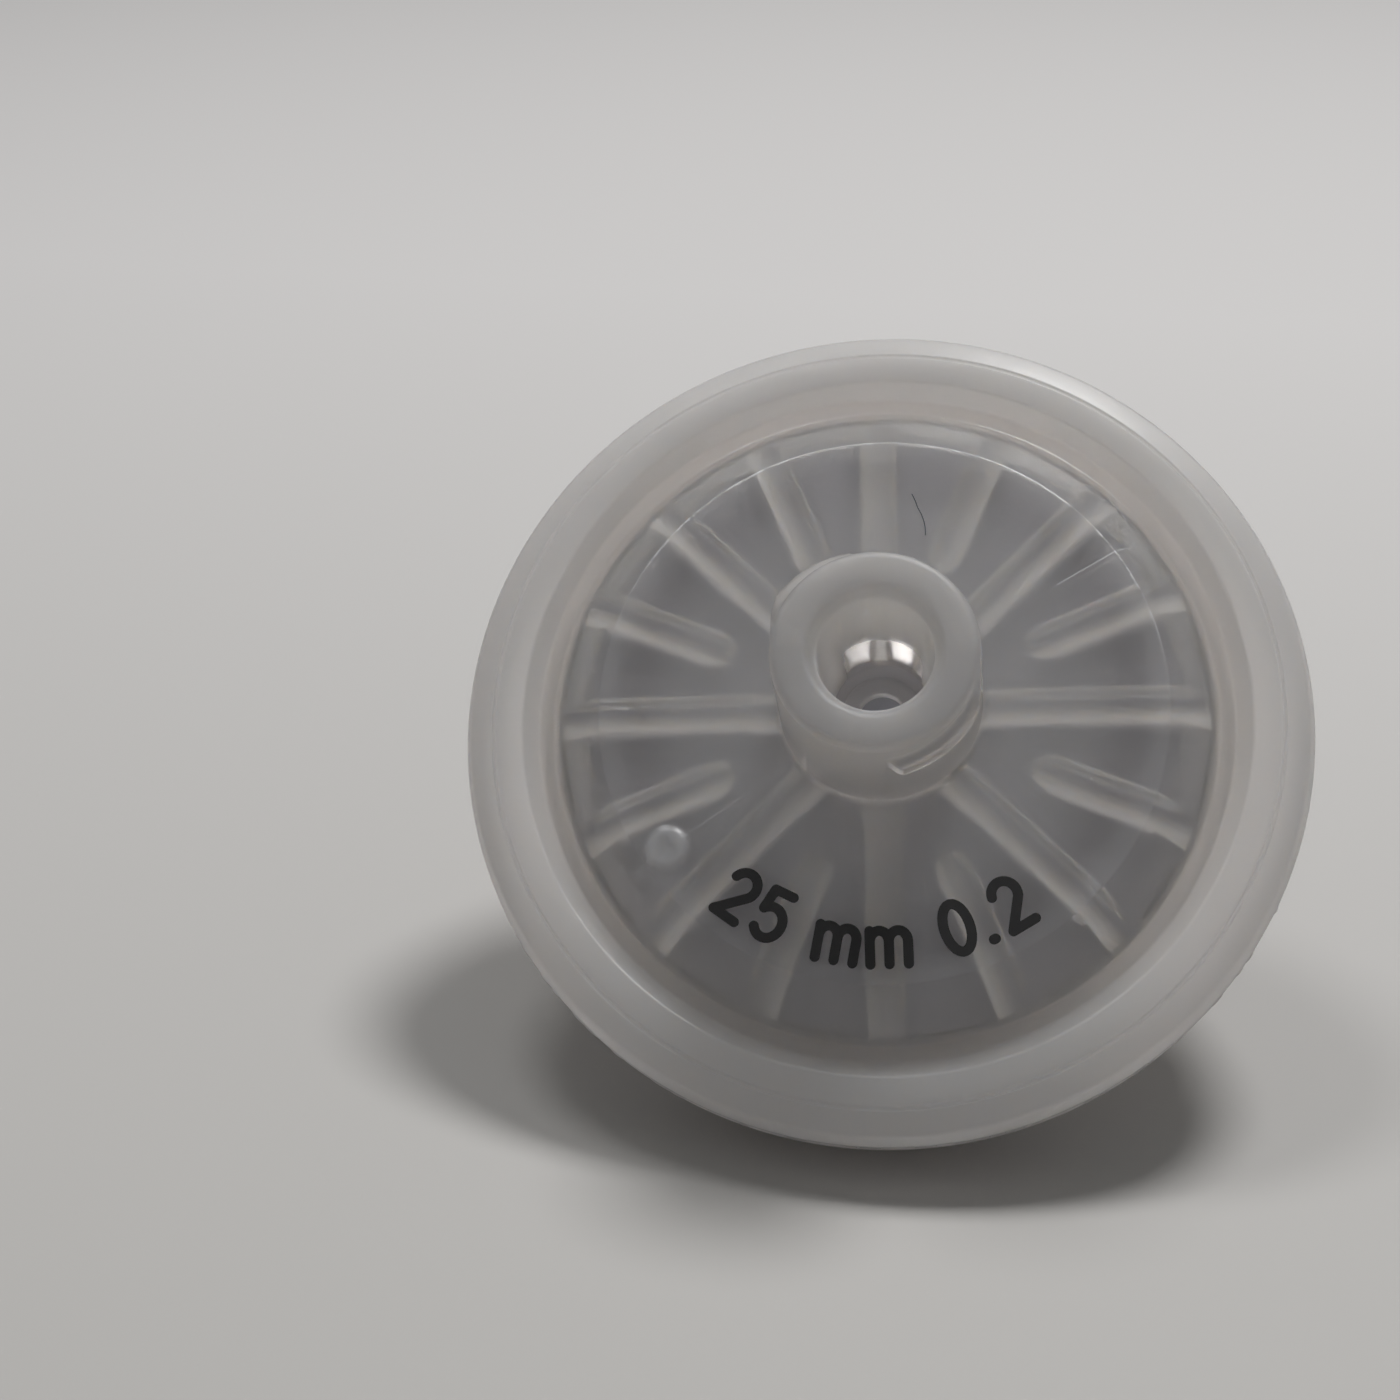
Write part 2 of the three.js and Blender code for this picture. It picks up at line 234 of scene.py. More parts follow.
@dataclass(frozen=True)
class NaturalPolypropylene(Finish):
    """Natural polypropylene, injection moulded: milky, clearer where it is thin, softly glossy."""

    name: str = "moulded_natural_polypropylene"
    tint: str = "#FBF6F3"
    blur: float = 0.4  # how much roughness goes with full haze
    ior: float = 1.49
    milk_depth: Sequence[float] = (3.6, 3.4, 3.1)  # how far each colour spreads, in mm
    flow_mm: float = 2.4  # size of the ripples that the melt left
    flow_depth_mm: float = 0.02
    # Nicks along the plateau's edge. Their haze grows towards the side that faces the lamps, so
    # they also stand in for glints there: painted glints.
    nick_mm: float = 0.16
    nick_and_glint_haze: float = 0.55
    nicked_edge: float = 10.87  # radius of the plateau's edge, in mm
    nicked_band: float = 0.035  # half its width, in mm
    scratches: Sequence[Scratch] = (
        Scratch((6.3, 5.33), (9.15, 7.40), 0.05, 0.5),
        Scratch((9.15, 7.40), (9.9, 7.75), 0.07, 0.3),
        Scratch((-10.87, -9.26), (-7.9, -6.75), 0.05, 0.22),
        Scratch((-7.3, -6.2), (-3.3, -2.8), 0.06, 0.12),
        Scratch((-9.9, -9.5), (-11.4, -8.9), 0.05, 0.3),
    )

    def wear_and_painted_glints(self, tree: bpy.types.NodeTree, where: bpy.types.NodeSocket) -> bpy.types.Node:
        """Adds the nodes that find the scratches and the nicks along the plateau's edge, whose haze
        grows towards +y, the side that faces the lamps: painted glints.

        Args:
            tree: The shader tree.
            where: The place on the piece, in mm.

        Returns:
            A node that gives the haze which the wear and the painted glints add.
        """
        radius = on_vectors(tree, "LENGTH", on_vectors(tree, "MULTIPLY", where, (1.0, 1.0, 0.0)))
        at_edge = calculate(
            tree, "COMPARE", radius.outputs["Value"], self.nicked_edge, self.nicked_band
        )
        side = add_node(tree, "ShaderNodeSeparateXYZ", {0: where}).outputs["Y"]
        # Painted glints: the nicks cloud more towards +y, the side that faces the lamps.
        painted_glint_ramp = add_node(
            tree, "ShaderNodeMapRange",
            {"Value": side, "From Min": 1.0, "From Max": 6.0, "To Max": self.nick_and_glint_haze},
        )
        speckle = add_node(
            tree, "ShaderNodeTexNoise", {"Vector": where, "Scale": 1 / self.nick_mm, "Detail": 1.0}
        )
        nicks = add_node(
            tree, "ShaderNodeMapRange",
            {"Value": speckle.outputs["Fac"], "From Min": 0.48, "From Max": 0.58, "To Max": painted_glint_ramp},
        )
        total = product(tree, at_edge, nicks)
        for scratch in self.scratches:
            total = calculate(tree, "ADD", total, scratch.mask(tree, where))
        return total

    def shader(self, tree: bpy.types.NodeTree) -> bpy.types.Node:
        """Adds the shader, which reads a piece's upright, haze and frost attributes.

        Args:
            tree: The material's tree.

        Returns:
            The shader.
        """
        where, haze, frost = (
            add_node(tree, "ShaderNodeAttribute", attribute_name=name).outputs[output]
            for name, output in (("upright", "Vector"), ("haze", "Fac"), ("frost", "Fac"))
        )
        flow = add_node(
            tree, "ShaderNodeTexNoise", {"Vector": where, "Scale": 1 / self.flow_mm, "Detail": 3.0}
        )
        cloud_and_painted_light = calculate(tree, "ADD", haze, self.wear_and_painted_glints(tree, where))
        return add_node(
            tree, "ShaderNodeBsdfPrincipled",
            {
                "Base Color": linear(self.tint),
                "Roughness": calculate(tree, "MULTIPLY_ADD", haze, self.blur, frost),
                "IOR": self.ior,
                "Transmission Weight": calculate(tree, "SUBTRACT", 1.0, cloud_and_painted_light, use_clamp=True),
                "Subsurface Weight": 1.0,
                "Subsurface Radius": self.milk_depth,
                "Subsurface Scale": MM,
                "Normal": self.relief(tree, flow.outputs["Fac"], 0.15, self.flow_depth_mm),
            },
        )


@dataclass(frozen=True)
class MicroporousNylon(Finish):
    """Microporous nylon sheet, cast: a matt white nylon with fine grain, its colour painted greyer
    and cooler to stand in for the dim, bluish light inside the chamber.
    """

    name: str = "cast_microporous_nylon"
    # Painted shade: grey with a cool cast, darker and bluer than white nylon, for the dim bluish
    # light inside the filter.
    colour: str = "#ACB0B9"
    grain_mm: float = 0.25
    grain_depth_mm: float = 0.02

    def shader(self, tree: bpy.types.NodeTree) -> bpy.types.Node:
        """Adds the shader."""
        bump = self.relief(tree, self.grain(tree, self.grain_mm), 0.3, self.grain_depth_mm)
        return add_node(
            tree, "ShaderNodeBsdfPrincipled",
            {"Base Color": linear(self.colour), "Roughness": 0.9, "IOR": 1.53, "Normal": bump},
        )


@dataclass(frozen=True)
class PadPrintInk(Finish):
    """Black pad-printing ink, cured: a thin satin film, a little uneven in its cover."""

    name: str = "pad_printed_black_ink"
    colour: str = "#141314"
    thin_colour: str = "#211F20"
    cover_mm: float = 0.4

    def shader(self, tree: bpy.types.NodeTree) -> bpy.types.Node:
        """Adds the shader."""
        cover = self.grain(tree, self.cover_mm)
        colour = self.blend(tree, cover, self.colour, self.thin_colour)
        return add_node(
            tree, "ShaderNodeBsdfPrincipled", {"Base Color": colour, "Roughness": 0.5, "IOR": 1.5}
        )


@dataclass(frozen=True)
class DarkFibre(Finish):
    """A stray cotton fibre: a dark, matt hair."""

    name: str = "stray_cotton_fibre"
    colour: str = "#4A4E55"
    twist_mm: float = 0.25
    twist_depth_mm: float = 0.01

    def shader(self, tree: bpy.types.NodeTree) -> bpy.types.Node:
        """Adds the shader."""
        bump = self.relief(tree, self.grain(tree, self.twist_mm), 0.4, self.twist_depth_mm)
        return add_node(
            tree, "ShaderNodeBsdfPrincipled",
            {"Base Color": linear(self.colour), "Roughness": 0.85, "Normal": bump},
        )


@dataclass(frozen=True)
class BenchTop(Finish):
    """Matt laminate bench top: a plain pale grey, with a painted light falloff: darker at the
    filter's near side and lighter away from it.
    """

    name: str = "matt_laminate_bench"
    near_painted_shade_colour: str = "#B5B3B0"
    far_painted_light_colour: str = "#C8C6C5"
    near_y: float = -0.035
    far_y: float = 0.09

    def shader(self, tree: bpy.types.NodeTree) -> bpy.types.Node:
        """Adds the shader."""
        where = add_node(tree, "ShaderNodeTexCoord").outputs["Object"]
        place = add_node(tree, "ShaderNodeSeparateXYZ", {0: where})
        share = add_node(
            tree, "ShaderNodeMapRange",
            {"Value": place.outputs["Y"], "From Min": self.near_y, "From Max": self.far_y},
        )
        colour = self.blend(tree, share, self.near_painted_shade_colour, self.far_painted_light_colour)
        return add_node(
            tree, "ShaderNodeBsdfPrincipled",
            {"Base Color": colour, "Roughness": 0.6, "Specular IOR Level": 0.2},
        )


# ---- Turned shapes


class Zone(IntEnum):
    """The surfaces of a turned moulding that something else is worked on."""

    PLAIN = 0
    CEILING = 1
    HUB_WALL = 2
    FLOOR = 3
    BOSS = 4


@dataclass(frozen=True)
class Corner:
    """A corner of a turned profile and the stretch of surface that follows it."""

    r: float
    z: float
    fillet: float = 0.0
    steps: int = 1
    zone: Zone = Zone.PLAIN
    haze: float = 0.3  # share of the light that the plastic scatters
    frost: float = 0.25  # roughness that the mould's own finish leaves


@dataclass(frozen=True)
class Spokes:
    """Where a ring's points crowd, so that the edges of radial bars stay straight."""

    count: int
    turn: float  # angle of the first bar, in degrees
    offsets: Sequence[float]  # from a bar's middle line to each line of points, in mm

    def angles(self, radius: float) -> np.ndarray:
        """Gives the angles of a ring's points.

        Args:
            radius: The ring's radius in mm.

        Returns:
            One angle for each of the ROUND_STEPS points, in radians.
        """
        pitch = 2 * math.pi / self.count
        reach = min(1.0, radius * math.sin(BAR_SHARE * pitch) / self.offsets[-1])
        half = np.arcsin(np.array(self.offsets) * reach / radius)
        near = np.concatenate([-half[:0:-1], half])
        between = ROUND_STEPS // self.count - len(near)
        gap = np.linspace(near[-1], pitch + near[0], between + 2)[1:-1]
        sector = np.concatenate([near, gap])
        starts = math.radians(self.turn) + pitch * np.arange(self.count)
        return (starts[:, None] + sector[None, :]).ravel()


def rounded(corners: Sequence[Corner]) -> list[Corner]:
    """Rounds the corners of a closed profile and divides its stretches.

    Args:
        corners: The profile, counterclockwise in (r, z).

    Returns:
        A corner for every ring of the mesh, in the same order.
    """
    rings: list[Corner] = []
    count = len(corners)
    points = [np.array([c.r, c.z]) for c in corners]
    arcs = []
    for i, corner in enumerate(corners):
        before, here, after = points[i - 1], points[i], points[(i + 1) % count]
        back, ahead = before - here, after - here
        back_l, ahead_l = np.linalg.norm(back), np.linalg.norm(ahead)
        back, ahead = back / back_l, ahead / ahead_l
        turn = math.pi - math.acos(float(np.clip(back @ ahead, -1, 1)))
        reach = min(corner.fillet * math.tan(turn / 2), SIDE_SHARE * min(back_l, ahead_l))
        if corner.fillet <= 0 or turn < FLAT_TURN:
            arcs.append([here])
            continue
        steps = max(2, math.ceil(math.degrees(turn) / ARC_STEP))
        inward = (back + ahead) / np.linalg.norm(back + ahead)
        centre = here + inward * reach / math.sin(turn / 2)
        start, end = here + back * reach - centre, here + ahead * reach - centre
        arcs.append([
            centre + (math.sin((1 - t) * turn) * start + math.sin(t * turn) * end) / math.sin(turn)
            for t in np.linspace(0, 1, steps + 1)
        ])
    for i, corner in enumerate(corners):
        earlier = corners[i - 1]
        middle = len(arcs[i]) / 2
        for k, point in enumerate(arcs[i]):
            owner = corner if k + 1 > middle else earlier
            rings.append(replace(owner, r=point[0], z=point[1]))
        start, end = arcs[i][-1], arcs[(i + 1) % count][0]
        after = corners[(i + 1) % count]
        for share in np.arange(1, corner.steps) / corner.steps:
            point = start + (end - start) * share
            rings.append(replace(
                corner, r=point[0], z=point[1],
                haze=corner.haze + (after.haze - corner.haze) * share,
                frost=corner.frost + (after.frost - corner.frost) * share,
            ))
    return rings


def turned(
    name: str, corners: Sequence[Corner], angles: Callable[[Corner], np.ndarray]
) -> bpy.types.Object:
    """Turns a closed profile about the z axis.

    Args:
        name: The piece's name.
        corners: The profile, counterclockwise in (r, z).
        angles: Gives the angles of a ring's points.

    Returns:
        The piece, upright and in mm, with its zone, haze and frost attributes.
    """
    rings = rounded(corners)
    points = np.empty((len(rings), ROUND_STEPS, 3))
    for row, ring in zip(points, rings):
        around = angles(ring)
        row[:, 0] = ring.r * np.cos(around)
        row[:, 1] = ring.r * np.sin(around)
        row[:, 2] = ring.z
    index = np.arange(len(rings) * ROUND_STEPS).reshape(len(rings), ROUND_STEPS)
    ahead = np.roll(index, -1, axis=0)
    quads = np.stack(
        [index, np.roll(index, -1, axis=1), np.roll(ahead, -1, axis=1), ahead], axis=-1
    )
    piece = meshed(name, points.reshape(-1, 3), quads.reshape(-1, 4)[:, ::-1])
    per_point = np.repeat(np.arange(len(rings)), ROUND_STEPS)
    zones = np.array([int(ring.zone) for ring in rings], np.int32)[per_point]
    keep(piece, "zone", "INT", zones)
    for finish in ("haze", "frost"):
        values = smoothed(np.array([getattr(ring, finish) for ring in rings]))[per_point]
        keep(piece, finish, "FLOAT", values.astype(np.float32))
    return piece


def smoothed(values: np.ndarray) -> np.ndarray:
    """Evens out a closed row of values between neighbours."""
    for _ in range(4):
        values = (np.roll(values, 1) + 2 * values + np.roll(values, -1)) / 4
    return values


def meshed(name: str, points: np.ndarray, faces: np.ndarray) -> bpy.types.Object:
    """Makes an object of a mesh, with its faces pointing outwards and shaded smooth.

    Args:
        name: The piece's name.
        points: Its points, in mm.
        faces: Its faces, all with the same number of corners.

    Returns:
        The object.
    """
    corner = points[faces]
    volume = np.einsum("ij,ij->i", corner[:, 0], np.cross(corner[:, 1], corner[:, 2])).sum()
    if faces.shape[1] == 4:
        volume += np.einsum(
            "ij,ij->i", corner[:, 0], np.cross(corner[:, 2], corner[:, 3])
        ).sum()
    if volume < 0:
        faces = faces[:, ::-1]
    mesh = bpy.data.meshes.new(name)
    mesh.from_pydata(points.tolist(), [], faces.tolist())
    mesh.polygons.foreach_set("use_smooth", np.ones(len(faces), bool))
    mesh.update()
    return placed(name, mesh)


# ---- Geometry trees


class GeometryRecipe:
    """A Geometry Nodes tree with named inputs, which is applied to a piece and then removed."""

    def __init__(self, name: str, counts: Sequence[str], sizes: Sequence[str]) -> None:
        """Starts the tree.

        Args:
            name: The tree's name.
            counts: Its named inputs that take a whole number, after the geometry.
            sizes: Its named inputs that take any number.
        """
        self.tree = bpy.data.node_groups.new(name, "GeometryNodeTree")
        face = self.tree.interface
        face.new_socket("Geometry", in_out="INPUT", socket_type="NodeSocketGeometry")
        self.identifiers = {
            label: face.new_socket(label, in_out="INPUT", socket_type=kind).identifier
            for labels, kind in ((counts, "NodeSocketInt"), (sizes, "NodeSocketFloat"))
            for label in labels
        }
        self.finish_id = face.new_socket(
            "Finish", in_out="INPUT", socket_type="NodeSocketMaterial"
        ).identifier
        face.new_socket("Geometry", in_out="OUTPUT", socket_type="NodeSocketGeometry")
        self.given = self.tree.nodes.new("NodeGroupInput").outputs

    def add(self, kind: str, inputs: dict[int | str, Any], **settings: Any) -> bpy.types.Node:
        """Adds a node to the tree."""
        return add_node(self.tree, kind, inputs, **settings)

    def math(self, operation: str, *values: Any) -> bpy.types.Node:
        """Adds a calculation on up to three numbers."""
        return calculate(self.tree, operation, *values)

    def product(self, *factors: Any) -> bpy.types.Node:
        """Adds the product of two or more numbers."""
        return product(self.tree, *factors)

    def place(self) -> tuple[Any, Any, Any, Any, Any]:
        """Adds a point's x, y and z, its distance from the z axis and its angle about it."""
        at = self.add("ShaderNodeSeparateXYZ", {0: self.add("GeometryNodeInputPosition", {})})
        x, y, z = at.outputs
        squares = self.math("ADD", self.product(x, x), self.product(y, y))
        return x, y, z, self.math("SQRT", squares), self.math("ARCTAN2", y, x)

    def spoke(self, radius: Any, angle: Any) -> tuple[Any, Any, Any, Any]:
        """Adds the nearest of Count spokes, the first of which lies at Turn.

        Args:
            radius: A point's distance from the z axis.
            angle: Its angle about the z axis.

        Returns:
            The spoke's number and angle, and how far the point lies along it and across it.
        """
        calc, product = self.math, self.product
        pitch = calc("DIVIDE", 2 * math.pi, self.given["Count"])
        turned_by = calc("SUBTRACT", angle, self.given["Turn"])
        number = calc("ROUND", calc("DIVIDE", turned_by, pitch))
        off_line = calc("SUBTRACT", turned_by, product(number, pitch))
        return (
            number,
            calc("MULTIPLY_ADD", number, pitch, self.given["Turn"]),
            product(radius, calc("COSINE", off_line)),
            product(radius, calc("SINE", off_line)),
        )

    def change(
        self, value: Any, begin: Any, end: Any, first: Any = 1.0, last: Any = 0.0,
        soft: bool = True,
    ) -> bpy.types.Node:
        """Adds a result that goes from first to last as a value goes from begin to end."""
        return self.add(
            "ShaderNodeMapRange",
            {"Value": value, "From Min": begin, "From Max": end, "To Min": first, "To Max": last},
            interpolation_type="SMOOTHSTEP" if soft else "LINEAR",
        )

    def on_zone(self, zone: Any) -> bpy.types.Node:
        """Adds the choice of one zone of a turned moulding."""
        own = self.add("GeometryNodeInputNamedAttribute", {"Name": "zone"}, data_type="INT")
        return self.add(
            "FunctionNodeCompare", {2: own, 3: zone}, data_type="INT", operation="EQUAL"
        )

    def haze(self) -> bpy.types.Node:
        """Adds a point's own haze."""
        return self.add("GeometryNodeInputNamedAttribute", {"Name": "haze"}, data_type="FLOAT")

    def reshape(
        self, chosen: Any, offset: dict[str, Any], haze: Any | None = None
    ) -> bpy.types.Node:
        """Adds a move of the chosen points, after a new haze on them where one is given.

        Args:
            chosen: Which points.
            offset: How far they move along X, Y and Z.
            haze: Their new haze.

        Returns:
            The moved geometry.
        """
        geometry = self.given["Geometry"]
        if haze is not None:
            geometry = self.add(
                "GeometryNodeStoreNamedAttribute",
                {"Geometry": geometry, "Selection": chosen, "Name": "haze", "Value": haze},
                data_type="FLOAT", domain="POINT",
            )
        way = self.add("ShaderNodeCombineXYZ", offset)
        return self.add(
            "GeometryNodeSetPosition", {"Geometry": geometry, "Selection": chosen, "Offset": way}
        )

    def end(self, geometry: Any) -> None:
        """Ends the tree in real geometry that wears its finish."""
        real = self.add("GeometryNodeRealizeInstances", {"Geometry": geometry})
        dressed = self.add(
            "GeometryNodeSetMaterial", {"Geometry": real, "Material": self.given["Finish"]}
        )
        self.add("NodeGroupOutput", {"Geometry": dressed})

    def apply(
        self, piece: bpy.types.Object, finish: bpy.types.Material, values: dict[str, Any]
    ) -> bpy.types.Object:
        """Runs the tree on a piece and keeps the result as its plain mesh.

        Args:
            piece: The piece.
            finish: The material that the result wears.
            values: A value for each named input.

        Returns:
            The same piece.
        """
        modifier = piece.modifiers.new(self.tree.name, "NODES")
        modifier.node_group = self.tree
        for label, value in values.items():
            modifier[self.identifiers[label]] = value
        modifier[self.finish_id] = finish
        shown = piece.evaluated_get(bpy.context.evaluated_depsgraph_get())
        result = bpy.data.meshes.new_from_object(shown)
        piece.modifiers.remove(modifier)
        piece.data = result
        result.name = piece.name
        return piece


def radial_bars() -> GeometryRecipe:
    """Makes the tree that draws a zone of a turned moulding down to a level along radial bars.

    Returns:
        The recipe. Every second bar may start at another radius, and each has a round inner end.
        The side of a bar that faces down as the filter lies is made the cloudiest: a painted light
        band, standing in for the light that the bar lets through.
    """
    recipe = GeometryRecipe(
        "Radial bars", ("Zone", "Count"),
        ("Turn", "Start", "Second start", "Half width", "Draft", "Level", "Painted light haze"),
    )
    given, calc, product = recipe.given, recipe.math, recipe.product
    _, _, z, radius, angle = recipe.place()
    number, line, along, across = recipe.spoke(radius, angle)
    is_second = calc("FLOORED_MODULO", number, 2.0)
    later = calc("SUBTRACT", given["Second start"], given["Start"])
    start = calc("MULTIPLY_ADD", is_second, later, given["Start"])
    short_of = calc("MAXIMUM", calc("SUBTRACT", start, along), 0.0)
    squares = calc("ADD", product(across, across), product(short_of, short_of))
    share = recipe.change(
        calc("SQRT", squares), given["Half width"],
        calc("ADD", given["Half width"], given["Draft"]),
    )
    drop = product(share, calc("MINIMUM", calc("SUBTRACT", given["Level"], z), 0.0))
    # Painted light: the side of the bar that faces down as the filter lies gets the most haze, so
    # it reads as a light band.
    low_side = calc("DIVIDE", product(across, calc("COSINE", line)), given["Half width"])
    side = recipe.change(low_side, 0.45, -0.75, 0.0, 1.0, soft=False)
    foot = calc("MINIMUM", product(share, 8.0), 1.0)
    cloud_and_painted_light = product(foot, side, given["Painted light haze"])
    recipe.end(recipe.reshape(
        recipe.on_zone(given["Zone"]), {"Z": drop}, calc("ADD", cloud_and_painted_light, recipe.haze())
    ))
    return recipe


def luer_lugs() -> GeometryRecipe:
    """Makes the tree that raises climbing lugs on the wall of a Luer-lock hub.

    Returns:
        The recipe. Each lug starts bluntly over Run in and fades over Run out.
    """
    recipe = GeometryRecipe(
        "Luer lugs", ("Count",),
        ("Turn", "Run in", "Arc", "Run out", "Lead", "Start height", "Root height",
         "Crest height", "Proud", "Shade clearing"),
    )
    given, calc, product = recipe.given, recipe.math, recipe.product
    x, y, z, radius, angle = recipe.place()
    pitch = calc("DIVIDE", 2 * math.pi, given["Count"])
    along = calc("FLOORED_MODULO", calc("SUBTRACT", angle, given["Turn"]), pitch)
    climb = product(given["Lead"], calc("DIVIDE", along, 2 * math.pi))
    off_middle = calc("ABSOLUTE", calc("SUBTRACT", z, calc("ADD", given["Start height"], climb)))
    section = recipe.change(
        off_middle, product(given["Crest height"], 0.5), product(given["Root height"], 0.5)
    )
    blunt = recipe.change(along, 0.0, given["Run in"], 0.0, 1.0)
    end = recipe.change(along, given["Arc"], calc("ADD", given["Arc"], given["Run out"]))
    share = product(section, blunt, end)
    scale = calc("DIVIDE", product(share, given["Proud"]), radius)
    # Painted shade: the lugs are made clearer, so that they read darker, standing in for the shade
    # that falls on them.
    left = calc("SUBTRACT", 1.0, product(share, given["Shade clearing"]))
    recipe.end(recipe.reshape(
        recipe.on_zone(int(Zone.HUB_WALL)),
        {"X": product(x, scale), "Y": product(y, scale)},
        product(recipe.haze(), left),
    ))
    return recipe


def boss_fins() -> GeometryRecipe:
    """Makes the tree that draws fins out of a boss, each with a shoulder at the boss's end.

    Returns:
        The recipe.
    """
    recipe = GeometryRecipe(
        "Boss fins", ("Count",),
        ("Turn", "Half width", "Draft", "Underside", "Shoulder", "Step", "End", "Nose",
         "Root reach", "Shoulder reach", "Nose reach"),
    )
    given, calc, product = recipe.given, recipe.math, recipe.product
    _, _, z, radius, angle = recipe.place()
    _, line, along, across = recipe.spoke(radius, angle)
    share = recipe.change(
        calc("ABSOLUTE", across), given["Half width"],
        calc("ADD", given["Half width"], given["Draft"]),
    )
    upper = recipe.change(
        z, given["Underside"], given["Shoulder"], given["Root reach"], given["Shoulder reach"],
        soft=False,
    )
    below = recipe.change(
        z, given["Shoulder"], calc("SUBTRACT", given["Shoulder"], given["Step"]),
        0.0, calc("SUBTRACT", given["Nose reach"], given["Shoulder reach"]),
    )
    reach = calc("ADD", upper, below)
    ended = recipe.change(z, calc("ADD", given["End"], given["Nose"]), given["End"])
    out = calc("MAXIMUM", calc("SUBTRACT", reach, along), 0.0)
    push = product(share, ended, out)
    recipe.end(recipe.reshape(
        recipe.on_zone(int(Zone.BOSS)),
        {"X": product(push, calc("COSINE", line)), "Y": product(push, calc("SINE", line))},
    ))
    return recipe


# ---- How the filter lies


@dataclass(frozen=True)
class RestingPlace:
    """Where the filter's own frame lies on the bench."""

    origin: Vector
    tilt: float

    @classmethod
    def of_frame(cls) -> "RestingPlace":
        """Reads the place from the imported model.

        Returns:
            The middle of the membrane, and the tilt that the inlet's face shows.
        """
        low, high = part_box("membrane")
        axis = next(
            m["axis"] for m in frame["record"]["mounts"] if m["name"] == "inlet_face"
        )
        return cls((low + high) / 2, math.atan2(-axis[1], axis[2]))

    def lay_down(self, piece: bpy.types.Object) -> bpy.types.Object:
        """Lays an upright piece down and turns it to metres, with its place in its mesh.

        Args:
            piece: The piece, upright and in mm.

        Returns:
            The same piece. Its upright attribute keeps where each point was, in mm.
        """
        mesh = piece.data
        points = np.empty(len(mesh.vertices) * 3, np.float32)
        mesh.vertices.foreach_get("co", points)
        keep(piece, "upright", "FLOAT_VECTOR", points)
        place = Matrix.Translation(self.origin) @ Matrix.Rotation(self.tilt, 4, "X")
        mesh.transform(place @ Matrix.Scale(MM, 4))
        mesh.update()
        return piece


# ---- The filter's pieces


